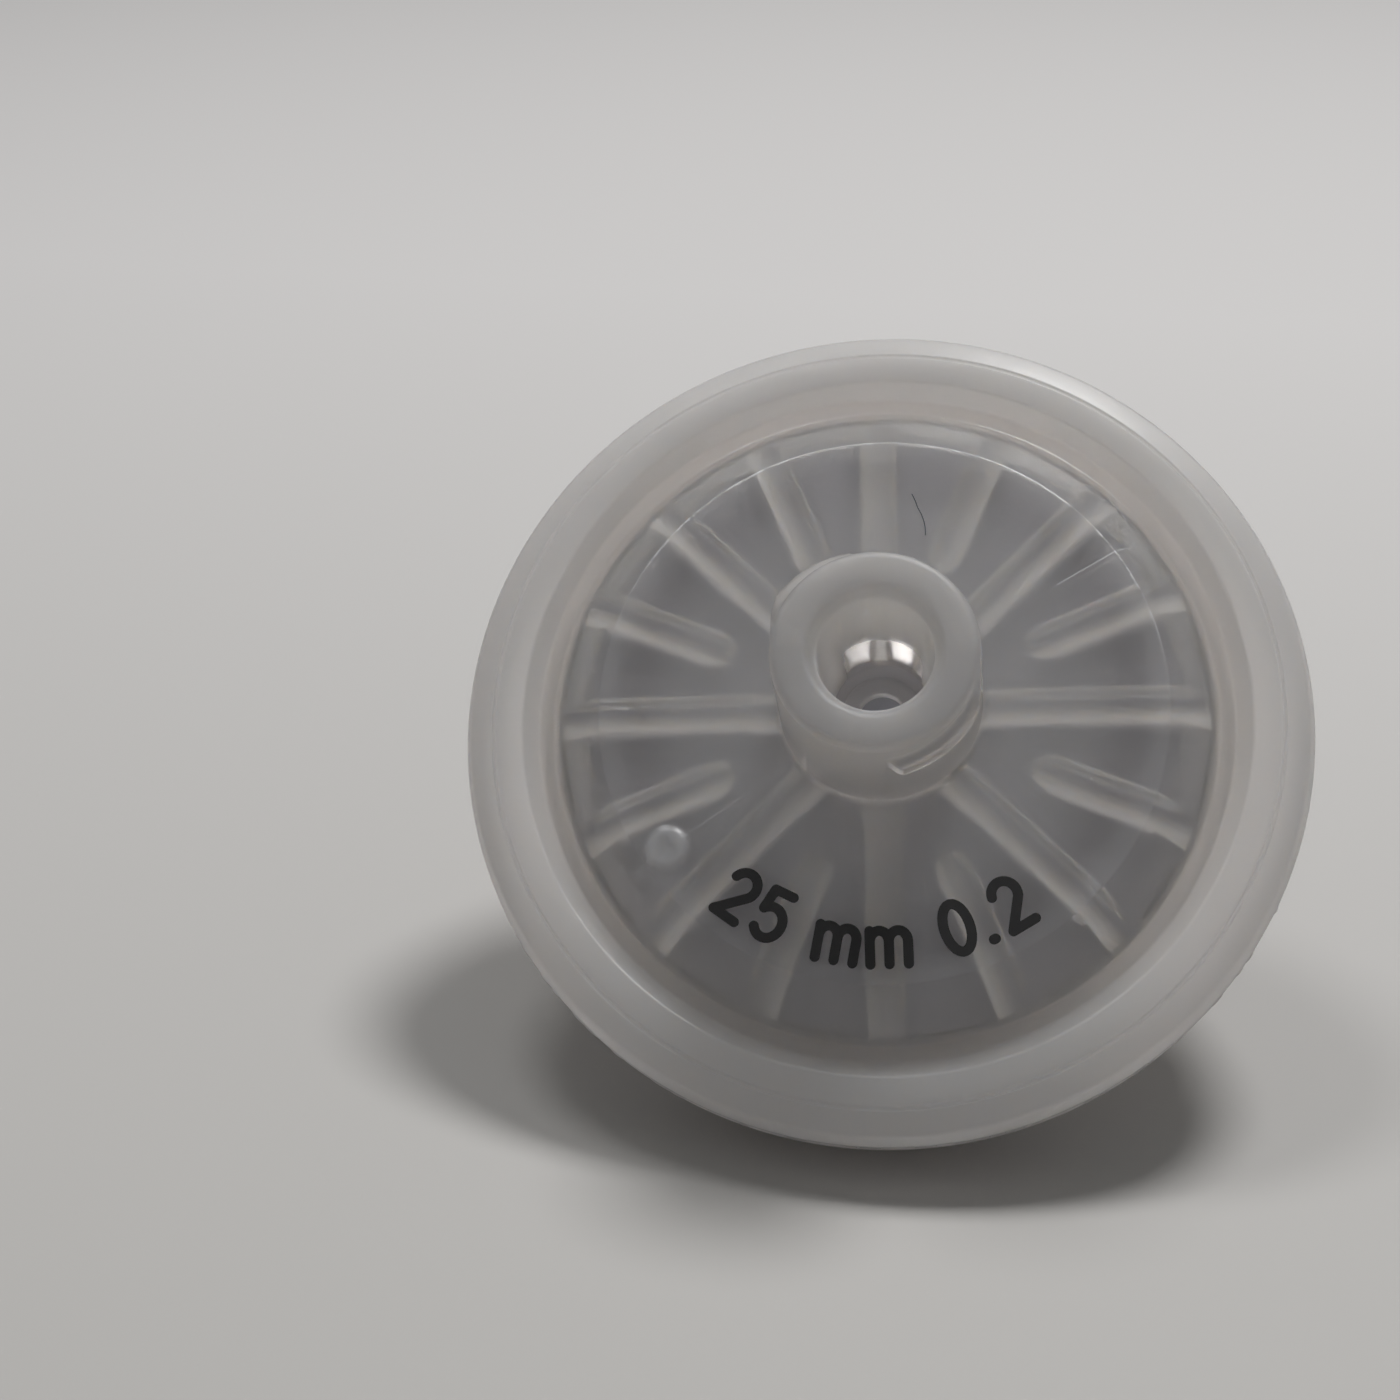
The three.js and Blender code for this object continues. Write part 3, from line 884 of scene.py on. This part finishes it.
@dataclass
class InletShell:
    """The inlet moulding: rim, groove, ribbed ceiling and Luer-lock hub. Sizes are mm."""

    place: RestingPlace
    plastic: bpy.types.Material
    rim_r: float = 16.5
    plateau_z: float = 2.65
    ceiling_z: float = 1.6
    rib_z: float = 0.55
    hub_top_z: float = 8.9
    hub_r: float = 3.8
    socket_r: float = 2.15
    gate_r: float = 0.92
    gate_at: float = 220.4  # in degrees
    gate_from_axis: float = 9.87
    gate_height: float = 0.2
    gate_dimple: float = 0.07
    gate_haze: float = 0.2
    clear_middle: float = 0.08  # haze that the middle of the gate's mark lacks
    painted_reflex_haze: float = 0.45
    painted_reflex_z: Point = (1.5, 8.4)  # where the socket's side walls are clouded, a painted reflection
    painted_reflex_r: float = 2.4  # what is nearer to the axis is the socket's wall
    first_at: float = 3.0  # in degrees, the first point of a ring without ribs
    ribs: Spokes = Spokes(16, 6.0, (0, 0.2, 0.38, 0.42, 0.46, 0.5, 0.54, 0.59, 0.64, 0.69, 0.74))

    def profile(self) -> list[Corner]:
        """Gives the section of the moulding.

        Returns:
            Its corners, counterclockwise from the inlet hole.
        """
        hub = {"zone": Zone.HUB_WALL, "haze": 0.18, "frost": 0.42}
        lip = {"haze": 0.2, "frost": 0.42}
        ceiling = {"zone": Zone.CEILING, "haze": 0.05, "frost": 0.2}
        plateau = {"frost": 0.28}
        rim = {"haze": 0.36}
        return [
            Corner(0.9, self.rib_z, 0.12, 1, haze=0.1),
            Corner(2.9, self.rib_z, 0.12, 1, haze=0.1),
            Corner(2.9, self.ceiling_z - 0.26, 0.1, 3, **ceiling),
            Corner(5.2, self.ceiling_z, 0.3, 3, **ceiling),
            Corner(5.9, self.ceiling_z, 0, 14, **ceiling),
            Corner(7.2, self.ceiling_z, 0, 4, **ceiling),
            Corner(11.1, self.ceiling_z, 0.12, 12, **ceiling),
            Corner(12.3, 0.16, 0.04, 1, haze=0.1),
            Corner(12.34, 0.085, 0.02, 2, haze=0.4),
            Corner(12.55, 0.085, 0.02, 1, **rim),
            Corner(12.55, SEAM, 0.02, 1, **rim),
            Corner(self.rim_r - 0.12, SEAM, 0.03, 1, **rim),
            Corner(self.rim_r, 0.12, 0.06, 2, **rim),
            Corner(self.rim_r, 0.5, 0.3, 2, **rim),
            Corner(16.27, 1.1, 0.35, 2, **rim),
            Corner(15.34, 1.56, 0.2, 1, **rim),
            Corner(15.29, 1.5, 0.03, 1, **rim),
            Corner(15.21, 1.5, 0.03, 1, **rim),
            Corner(15.16, 1.6, 0.06, 2, **rim),
            Corner(14.1, 1.6, 0.22, 2, haze=0.3),
            Corner(13.5, 1.0, 0.2, 2, haze=0.12),
            Corner(12.9, 1.0, 0.25, 6, haze=0.07),
            # The plateau is clearest near r 9.6 and cloudier at 7.8 and 10.9, so a darker ring
            # shows between: painted shade, standing in for the shadow band on the membrane.
            Corner(10.9, self.plateau_z, 0.1, 8, haze=0.15, **plateau),
            Corner(9.6, self.plateau_z, 0, 12, haze=0.04, **plateau),
            Corner(7.8, self.plateau_z, 0, 6, haze=0.15, **plateau),
            Corner(4.45, self.plateau_z, 0.0, 1, haze=0.2, **plateau),
            Corner(3.88, self.plateau_z, 0.35, 2, **hub),
            Corner(3.84, 6.5, 0, 30, **hub),
            Corner(self.hub_r, self.hub_top_z, 0.3, 3, **lip),
            Corner(2.45, self.hub_top_z, 0.35, 2, **lip),
            Corner(self.socket_r, 8.4, 0.5, 3, haze=0.36, frost=0.42),
            Corner(2.12, 7.9, 0, 6, haze=0.48, frost=0.4),
            Corner(2.03, 5.2, 0, 5, haze=0.34, frost=0.3),
            Corner(2.01, 4.2, 0, 7, haze=0.07, frost=0.22),
            Corner(1.9, 1.15, 0.5, 4, haze=0.05, frost=0.24),
            Corner(0.9, 1.15, 0.12, 1, haze=0.42, frost=0.3),
        ]

    def raise_gate_mark(self, piece: bpy.types.Object) -> None:
        """Raises the low, cloudy dome with its sunken middle that the moulding gate left."""
        at = math.radians(self.gate_at)
        centre = Vector((self.gate_from_axis * math.cos(at), self.gate_from_axis * math.sin(at)))
        haze = piece.data.attributes["haze"].data
        for vertex in piece.data.vertices:
            away = (vertex.co.xy - centre).length / self.gate_r
            if away < 1.3 and vertex.co.z > self.plateau_z - 0.05:
                wall = 1 / (1 + math.exp((away - 0.85) * 14))
                middle = math.exp(-(away / 0.45) ** 2)
                vertex.co.z += self.gate_height * wall - self.gate_dimple * middle
                haze[vertex.index].value += self.gate_haze * wall - self.clear_middle * middle

    def paint_socket_reflexes(self, piece: bpy.types.Object) -> None:
        """Clouds the socket's wall, all but its clear +y side, so that the side walls read lighter:
        painted reflections, standing in for the bright reflexes on them.
        """
        haze = piece.data.attributes["haze"].data
        for vertex in piece.data.vertices:
            radius = vertex.co.xy.length
            if radius < self.painted_reflex_r and self.painted_reflex_z[0] < vertex.co.z < self.painted_reflex_z[1]:
                away = math.acos(max(-1.0, min(1.0, vertex.co.y / radius)))
                share = max(0.0, min(1.0, (away - 0.75) / 0.5))
                cloud_and_painted_light = haze[vertex.index]
                cloud_and_painted_light.value += (self.painted_reflex_haze - cloud_and_painted_light.value) * share * (3 - 2 * share) * share

    def build(self) -> bpy.types.Object:
        """Builds and dresses the moulding.

        Returns:
            The piece, laid down.
        """
        ribs = self.ribs
        even = EVEN + math.radians(self.first_at)
        piece = turned(
            "inlet_shell", self.profile(),
            lambda ring: ribs.angles(ring.r) if ring.zone == Zone.CEILING else even,
        )
        self.raise_gate_mark(piece)
        self.paint_socket_reflexes(piece)
        radial_bars().apply(
            piece, self.plastic,
            {
                "Zone": int(Zone.CEILING), "Count": 16, "Turn": math.radians(ribs.turn),
                "Start": 2.0, "Second start": 6.93, "Half width": 0.42, "Draft": 0.3,
                "Level": self.rib_z, "Painted light haze": 1.0,
            },
        )
        luer_lugs().apply(
            piece, self.plastic,
            {
                "Count": 2, "Turn": math.radians(100), "Run in": math.radians(9),
                "Arc": math.radians(48), "Run out": math.radians(32), "Lead": 5.0,
                "Start height": self.hub_top_z - 1.65, "Root height": 1.1,
                "Crest height": 0.65, "Proud": 0.45, "Shade clearing": 0.75,
            },
        )
        self.place.lay_down(piece)
        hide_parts("inlet_housing")
        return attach(piece, "root")


@dataclass
class OutletShell:
    """The outlet moulding: rim, skirt, ridged floor, finned boss and Luer nozzle. Sizes are mm."""

    place: RestingPlace
    plastic: bpy.types.Material
    rim_r: float = 16.5
    floor_z: float = -1.2
    under_z: float = -2.45
    tip_z: float = -16.1
    ridges: Sequence[float] = (9.65, 7.5, 5.35, 3.2)
    ridge_w: float = 0.7

    def profile(self) -> list[Corner]:
        """Gives the section of the moulding.

        Returns:
            Its corners, counterclockwise from the bore at the nozzle's tip.
        """
        rim = {"haze": 0.22}
        boss = {"zone": Zone.BOSS, "haze": 0.45}
        floor = {"zone": Zone.FLOOR, "haze": 0.3}
        corners = [
            Corner(1.05, self.tip_z, 0.08, 2, haze=0.45),
            Corner(1.98, self.tip_z, 0.12, 2, haze=0.45),
            Corner(2.22, self.tip_z + 8.0, 0.0, 2, haze=0.45),
            Corner(2.22, -7.3, 0.0, 20, **boss),
            Corner(2.22, -5.2, 0.05, 2, **boss),
            Corner(2.65, -4.95, 0.08, 22, **boss),
            Corner(2.65, self.under_z - 0.2, 0.0, 1, **boss),
            Corner(2.65, self.under_z, 0.2, 2, haze=0.35),
            Corner(11.6, self.under_z, 0.3, 2, haze=0.35),
            Corner(12.4, -2.1, 0.3, 2, haze=0.45),
            Corner(13.4, -2.1, 0.25, 1, **rim),
            Corner(13.9, -3.4, 0.12, 2, **rim),
            Corner(15.51, -3.4, 0.7, 1, **rim),
            Corner(15.9, -1.1, 0.12, 1, **rim),
            Corner(16.27, -1.1, 0.12, 2, **rim),
            Corner(self.rim_r, -0.5, 0.3, 2, **rim),
            Corner(self.rim_r, -0.12, 0.06, 1, **rim),
            Corner(self.rim_r - 0.12, -SEAM, 0.03, 1, **rim),
            Corner(12.55, -SEAM, 0.02, 1, **rim),
            Corner(12.55, -0.085, 0.02, 2, **rim),
            Corner(12.0, -0.085, 0.05, 1, haze=0.4),
            Corner(11.6, self.floor_z, 0.12, 3, haze=0.3),
        ]
        for r in self.ridges:
            corners += [
                Corner(r + self.ridge_w / 2, self.floor_z, 0.06, 1, **floor),
                Corner(r + self.ridge_w / 4, -0.09, 0.06, 1, **floor),
                Corner(r - self.ridge_w / 4, -0.09, 0.06, 1, **floor),
                Corner(r - self.ridge_w / 2, self.floor_z, 0.06, 1, **floor),
            ]
        corners.append(Corner(0.9, self.floor_z, 0.12, 1, haze=0.4))
        return corners

    def build(self) -> bpy.types.Object:
        """Builds and dresses the moulding.

        Returns:
            The piece, laid down.
        """
        channels = Spokes(
            8, 0.0,
            tuple(0.1 * k for k in range(3)) + tuple(0.3 + 0.03 * k for k in range(14)),
        )
        piece = turned(
            "outlet_shell", self.profile(),
            lambda ring: channels.angles(ring.r) if ring.zone == Zone.FLOOR else EVEN,
        )
        radial_bars().apply(
            piece, self.plastic,
            {
                "Zone": int(Zone.FLOOR), "Count": 8, "Turn": 0.0, "Start": 1.2,
                "Second start": 1.2, "Half width": 0.42, "Draft": 0.12, "Level": self.floor_z,
                "Painted light haze": 0.3,
            },
        )
        boss_fins().apply(
            piece, self.plastic,
            {
                "Count": 6, "Turn": math.radians(10), "Half width": 0.34, "Draft": 0.08,
                "Underside": self.under_z, "Shoulder": -4.95, "Step": 0.3, "End": -6.95,
                "Nose": 0.25,
                "Root reach": 3.4, "Shoulder reach": 3.25, "Nose reach": 2.8,
            },
        )
        self.place.lay_down(piece)
        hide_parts("outlet_housing")
        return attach(piece, "root")


@dataclass
class Membrane:
    """The nylon disc that the mouldings grip."""

    nylon: bpy.types.Material

    def dress(self) -> bpy.types.Object:
        """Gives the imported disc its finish.

        Returns:
            The disc.
        """
        disc = frame["nodes"]["membrane"]
        for slot in disc.material_slots:
            slot.material = self.nylon
        return disc


def weld_flash() -> GeometryRecipe:
    """Makes the tree that scatters small beads of flash along a ring-shaped weld.

    Returns:
        The recipe. The piece that it runs on is one bead, lying along x at the origin.
    """
    recipe = GeometryRecipe(
        "Weld flash", ("Count", "Seed"), ("Radius", "Share", "Shortest", "Longest")
    )
    given = recipe.given
    ring = recipe.add(
        "GeometryNodeMeshCircle", {"Vertices": given["Count"], "Radius": given["Radius"]}
    )
    kept = recipe.add(
        "FunctionNodeRandomValue", {"Probability": given["Share"], "Seed": given["Seed"]},
        data_type="BOOLEAN",
    )
    length = recipe.add(
        "FunctionNodeRandomValue",
        {2: given["Shortest"], 3: given["Longest"], "Seed": given["Seed"]}, data_type="FLOAT",
    )
    place = recipe.add("ShaderNodeSeparateXYZ", {0: recipe.add("GeometryNodeInputPosition", {})})
    along = recipe.math(
        "ADD", recipe.math("ARCTAN2", place.outputs["Y"], place.outputs["X"]), math.pi / 2
    )
    beads = recipe.add(
        "GeometryNodeInstanceOnPoints",
        {
            "Points": ring, "Selection": kept.outputs[3], "Instance": given["Geometry"],
            "Rotation": recipe.add("ShaderNodeCombineXYZ", {"Z": along}),
            "Scale": recipe.add(
                "ShaderNodeCombineXYZ", {"X": length.outputs[1], "Y": 1.0, "Z": 1.0}
            ),
        },
    )
    recipe.end(beads)
    return recipe


@dataclass
class WeldFlash:
    """The beads of flash that the weld pressed out between the two rims. Sizes are mm."""

    place: RestingPlace
    plastic: bpy.types.Material
    rim_r: float = 16.5
    proud: float = 0.05
    half_height: float = 0.09
    count: int = 150
    share: float = 0.55

    def bead(self) -> bpy.types.Object:
        """Builds one bead, 1 mm long, as a closed pod with a dozen sides."""
        rows = [(0.5 * math.cos(a), math.sin(a)) for a in np.radians((160, 130, 90, 50, 20))]
        turns = np.linspace(0, 2 * math.pi, 8, endpoint=False)
        points = [(-0.5, 0.0, 0.0)]
        for x, size in rows:
            points += [
                (x, size * self.proud * math.cos(t), size * self.half_height * math.sin(t))
                for t in turns
            ]
        points.append((0.5, 0.0, 0.0))
        last = len(points) - 1
        faces = []
        for k in range(8):
            n = (k + 1) % 8
            faces += [(0, 1 + n, 1 + k), (last, last - 8 + k, last - 8 + n)]
            for row in range(len(rows) - 1):
                a = 1 + row * 8
                faces += [(a + k, a + n, a + 8 + n), (a + k, a + 8 + n, a + 8 + k)]
        piece = meshed("weld_flash", np.array(points), np.array(faces))
        for finish, value in (("haze", 0.5), ("frost", 0.3)):
            keep(piece, finish, "FLOAT", np.full(len(points), value, np.float32))
        return piece

    def build(self) -> bpy.types.Object:
        """Builds the whole ring of flash.

        Returns:
            The piece, laid down.
        """
        piece = weld_flash().apply(
            self.bead(), self.plastic,
            {
                "Count": self.count, "Radius": self.rim_r, "Share": self.share,
                "Shortest": 0.25, "Longest": 0.95, "Seed": 4,
            },
        )
        self.place.lay_down(piece)
        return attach(piece, "root")


def bow(x: float, y: float, rx: float, ry: float, start: float, end: float) -> list[Point]:
    """Gives the points of an upright elliptical arc.

    Args:
        x: Its centre across.
        y: Its centre up.
        rx: Its half width.
        ry: Its half height.
        start: Its first angle in degrees.
        end: Its last angle in degrees.

    Returns:
        Its points in order.
    """
    angles = np.radians(np.linspace(start, end, 2 + int(abs(end - start) / 15)))
    return [(x + rx * math.cos(a), y + ry * math.sin(a)) for a in angles]


@dataclass
class SizePrint:
    """The sizes printed round the plateau, in single strokes with round ends. Sizes are mm."""

    place: RestingPlace
    ink: bpy.types.Material
    text: str = "25 mm 0.2"
    baseline_r: float = 10.12
    cap_height: float = 1.86
    half_stroke: float = 0.19
    first_at: float = 237.0
    last_at: float = 309.5
    bed_z: float = 2.656
    film: float = 0.014
    cell: float = 0.05
    across: Point = (-7.5, 7.9)  # the sheet that the film is cut from, about the axis
    up: Point = (-10.7, -5.5)

    def strokes(self, glyph: str) -> tuple[float, list[list[Point]]]:
        """Gives a glyph's width and its strokes, with a capital's height as 1."""
        arch = [bow(x, 0.46, 0.19, 0.22, 180, 0) for x in (0.19, 0.57)]
        return {
            "0": (0.52, [bow(0.26, 0.5, 0.26, 0.5, 90, 450)]),
            "2": (0.54, [bow(0.27, 0.72, 0.26, 0.28, 165, -32) + [(0.02, 0.0), (0.54, 0.0)]]),
            "5": (0.54, [
                [(0.5, 1.0), (0.1, 1.0), (0.05, 0.56)] + bow(0.26, 0.33, 0.28, 0.33, 125, -145),
            ]),
            "m": (0.76, [
                [(0.0, 0.68), (0.0, 0.0)], arch[0] + [(0.38, 0.0)], arch[1] + [(0.76, 0.0)],
            ]),
            ".": (0.04, [[(0.0, 0.02), (0.04, 0.02)]]),
            " ": (0.16, []),
        }[glyph]

    def segments(self) -> np.ndarray:
        """Lays every stroke round the plateau.

        Returns:
            The two ends of each straight bit, in mm.
        """
        widths = [self.strokes(glyph)[0] * self.cap_height for glyph in self.text]
        turn = math.radians(self.last_at - self.first_at)
        gap = (turn * self.baseline_r - sum(widths)) / (len(widths) - 1)
        bits, at = [], 0.0
        for glyph, width in zip(self.text, widths):
            angle = math.radians(self.first_at) + (at + width / 2) / self.baseline_r
            out = np.array([math.cos(angle), math.sin(angle)])
            side = np.array([-out[1], out[0]])
            for stroke in self.strokes(glyph)[1]:
                points = np.array(stroke) * self.cap_height
                laid = (
                    (points[:, :1] - width / 2) * side
                    + (self.baseline_r - points[:, 1:]) * out
                )
                bits += list(zip(laid[:-1], laid[1:]))
            at += width + gap
        return np.array(bits)

    def inked(self, across: np.ndarray, up: np.ndarray) -> np.ndarray:
        """Gives how far inside the ink each point of a grid is, in mm."""
        grid = np.stack(np.meshgrid(across, up, indexing="ij"), axis=-1)
        nearest = np.full(grid.shape[:2], np.inf)
        for start, end in self.segments():
            way = end - start
            share = np.clip((grid - start) @ way / max(way @ way, 1e-9), 0, 1)
            away = np.linalg.norm(grid - start - share[..., None] * way, axis=-1)
            nearest = np.minimum(nearest, away)
        return self.half_stroke - nearest

    def build(self) -> bpy.types.Object:
        """Builds the ink as one thin closed film.

        Returns:
            The piece, laid down.
        """
        across = np.arange(*self.across, self.cell)
        up = np.arange(*self.up, self.cell)
        depth = self.inked(across, up)
        points: list[Point] = []
        index: dict[tuple[int, int, int, int], int] = {}

        def point(i: int, j: int, k: int, m: int) -> int:
            """Gives the number of the point on a grid corner, or where ink ends between two."""
            key = min((i, j, k, m), (k, m, i, j))
            if key not in index:
                a, b = depth[i, j], depth[k, m]
                t = 0.0 if a == b else a / (a - b)
                index[key] = len(points)
                points.append((
                    across[i] + t * (across[k] - across[i]), up[j] + t * (up[m] - up[j])
                ))
            return index[key]

        faces = []
        low, high = depth[:-1, :-1], depth[1:, 1:]
        wet = np.maximum(np.maximum(low, high), np.maximum(depth[1:, :-1], depth[:-1, 1:])) > 0
        for i, j in zip(*np.nonzero(wet)):
            ring = [(i, j), (i + 1, j), (i + 1, j + 1), (i, j + 1)]
            outline = []
            for here, after in zip(ring, ring[1:] + ring[:1]):
                if depth[here] > 0:
                    outline.append(point(*here, *here))
                if (depth[here] > 0) != (depth[after] > 0):
                    outline.append(point(*here, *after))
            faces += [(outline[0], b, c) for b, c in zip(outline[1:-1], outline[2:])]
        count = len(points)
        flat = np.array(points)
        top = np.array(faces)
        sides = np.concatenate([top[:, [0, 1]], top[:, [1, 2]], top[:, [2, 0]]])
        known = {tuple(side) for side in sides.tolist()}
        rim = np.array([(a, b) for a, b in known if (b, a) not in known])
        a, b = rim[:, 0], rim[:, 1]
        walls = np.concatenate([
            np.stack([a, a + count, b + count], -1), np.stack([a, b + count, b], -1)
        ])
        solid = np.concatenate([top, top[:, ::-1] + count, walls])
        heights = np.repeat([self.bed_z + self.film, self.bed_z], count)
        piece = meshed(
            "size_print", np.column_stack([np.concatenate([flat, flat]), heights]), solid
        )
        piece.data.polygons.foreach_set("use_smooth", np.zeros(len(solid), bool))
        piece.data.materials.append(self.ink)
        self.place.lay_down(piece)
        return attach(piece, "root")


@dataclass
class StrayFibre:
    """A short dark fibre that lies on the plateau. Sizes are mm."""

    place: RestingPlace
    fibre: bpy.types.Material
    path: Sequence[Point] = (
        (0.42, 8.72), (0.6, 8.42), (0.66, 8.2), (0.84, 7.95), (1.0, 7.6), (1.08, 7.3), (1.1, 7.02),
    )
    thickness: float = 0.035
    bed_z: float = 2.66

    def build(self) -> bpy.types.Object:
        """Builds the fibre.

        Returns:
            The piece, laid down.
        """
        curve = bpy.data.curves.new("stray_fibre", "CURVE")
        curve.dimensions = "3D"
        curve.bevel_depth = self.thickness / 2
        curve.bevel_resolution = 2
        curve.use_fill_caps = True
        spline = curve.splines.new("NURBS")
        spline.points.add(len(self.path) - 1)
        for knot, (x, y) in zip(spline.points, self.path):
            knot.co = (x, y, self.bed_z + self.thickness / 2, 1.0)
        spline.use_endpoint_u = True
        drawn = bpy.data.objects.new("fibre_line", curve)
        mesh = bpy.data.meshes.new_from_object(drawn)
        bpy.data.objects.remove(drawn)
        piece = placed("stray_fibre", mesh)
        mesh.materials.clear()
        mesh.materials.append(self.fibre)
        self.place.lay_down(piece)
        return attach(piece, "root")


# ---- Camera, lights and floor


@dataclass(frozen=True)
class Lamp:
    """A soft round lamp. Angles are degrees, the rest metres."""

    name: str
    azimuth: float  # from +Y towards +X
    elevation: float
    distance: float
    width: float
    power: float

    def hang(self, aim: Vector) -> bpy.types.Object:
        """Hangs the lamp so that it faces a point."""
        light = bpy.data.lights.new(self.name, "AREA")
        light.shape = "DISK"
        light.size = self.width
        light.energy = self.power
        lamp = placed(self.name, light)
        a, e = math.radians(self.azimuth), math.radians(self.elevation)
        way = Vector((math.sin(a) * math.cos(e), math.cos(a) * math.cos(e), math.sin(e)))
        lamp.location = aim + way * self.distance
        lamp.rotation_euler = way.to_track_quat("Z", "Y").to_euler()
        return lamp


@dataclass
class Studio:
    """The camera, the floor and the soft light."""

    place: RestingPlace
    azimuth: float = 9.25
    elevation: float = 28.3
    distance_mm: float = 90.0
    aim_right_mm: float = -7.20
    aim_up_mm: float = 0.96
    field: float = 34.0
    floor_size: float = 3.0

    def set_camera(self) -> bpy.types.Object:
        """Places the camera.

        Returns:
            The camera.
        """
        a, e = math.radians(self.azimuth), math.radians(self.elevation)
        back = Vector((math.sin(a) * math.cos(e), -math.cos(a) * math.cos(e), math.sin(e)))
        right = Vector((math.cos(a), math.sin(a), 0))
        aim = self.place.origin + MM * (
            self.aim_right_mm * right + self.aim_up_mm * back.cross(right)
        )
        data = bpy.data.cameras.new("camera")
        data.sensor_width = 36.0
        data.lens = 18.0 / math.tan(math.radians(self.field) / 2)
        data.clip_start = 0.005
        camera = placed("camera", data)
        camera.location = aim + back * self.distance_mm * MM
        camera.rotation_euler = back.to_track_quat("Z", "Y").to_euler()
        bpy.context.scene.camera = camera
        return camera

    def lay_floor(self) -> bpy.types.Object:
        """Lays the floor."""
        half = self.floor_size / 2
        mesh = bpy.data.meshes.new("floor")
        mesh.from_pydata(
            [(-half, -half, 0), (half, -half, 0), (half, half, 0), (-half, half, 0)],
            [], [(0, 1, 2, 3)],
        )
        mesh.materials.append(BenchTop().material())
        floor = placed("floor", mesh)
        return floor

    def light(self) -> None:
        """Hangs the two lamps and sets the room's own light."""
        aim = Vector((0, 0, 0.01))
        Lamp("lamp_right", 30, 66, 0.40, 0.11, 1.04).hang(aim)
        Lamp("lamp_left", -50, 66, 0.40, 0.11, 0.34).hang(aim)
        world = bpy.data.worlds.new("room")
        world.use_nodes = True
        tree = world.node_tree
        tree.nodes.clear()
        room, seen = (
            add_node(tree, "ShaderNodeBackground", {"Color": linear(colour), "Strength": strength})
            for colour, strength in (("#C8C9C9", 0.39), ("#C6C4C1", 1.0))
        )
        ray = add_node(tree, "ShaderNodeLightPath")
        mix = add_node(
            tree, "ShaderNodeMixShader",
            {0: ray.outputs["Is Camera Ray"], 1: room, 2: seen},
        )
        add_node(tree, "ShaderNodeOutputWorld", {"Surface": mix})
        bpy.context.scene.world = world

    def set_up(self) -> None:
        """Sets up the whole studio."""
        self.set_camera()
        self.lay_floor()
        self.light()
        bpy.context.scene.view_settings.view_transform = "Standard"


def main() -> None:
    """Builds the filter's pieces in order and reports each."""
    logging.basicConfig(level=logging.INFO, format="%(name)s: %(message)s")
    place = RestingPlace.of_frame()
    Studio(place).set_up()
    plastic = NaturalPolypropylene().material()
    for piece in (
        InletShell(place, plastic).build(),
        OutletShell(place, plastic).build(),
        Membrane(MicroporousNylon().material()).dress(),
        WeldFlash(place, plastic).build(),
        SizePrint(place, PadPrintInk().material()).build(),
        StrayFibre(place, DarkFibre().material()).build(),
    ):
        LOG.info("%s: %d faces", piece.name, len(piece.data.polygons))


if __name__ == "__main__":
    main()
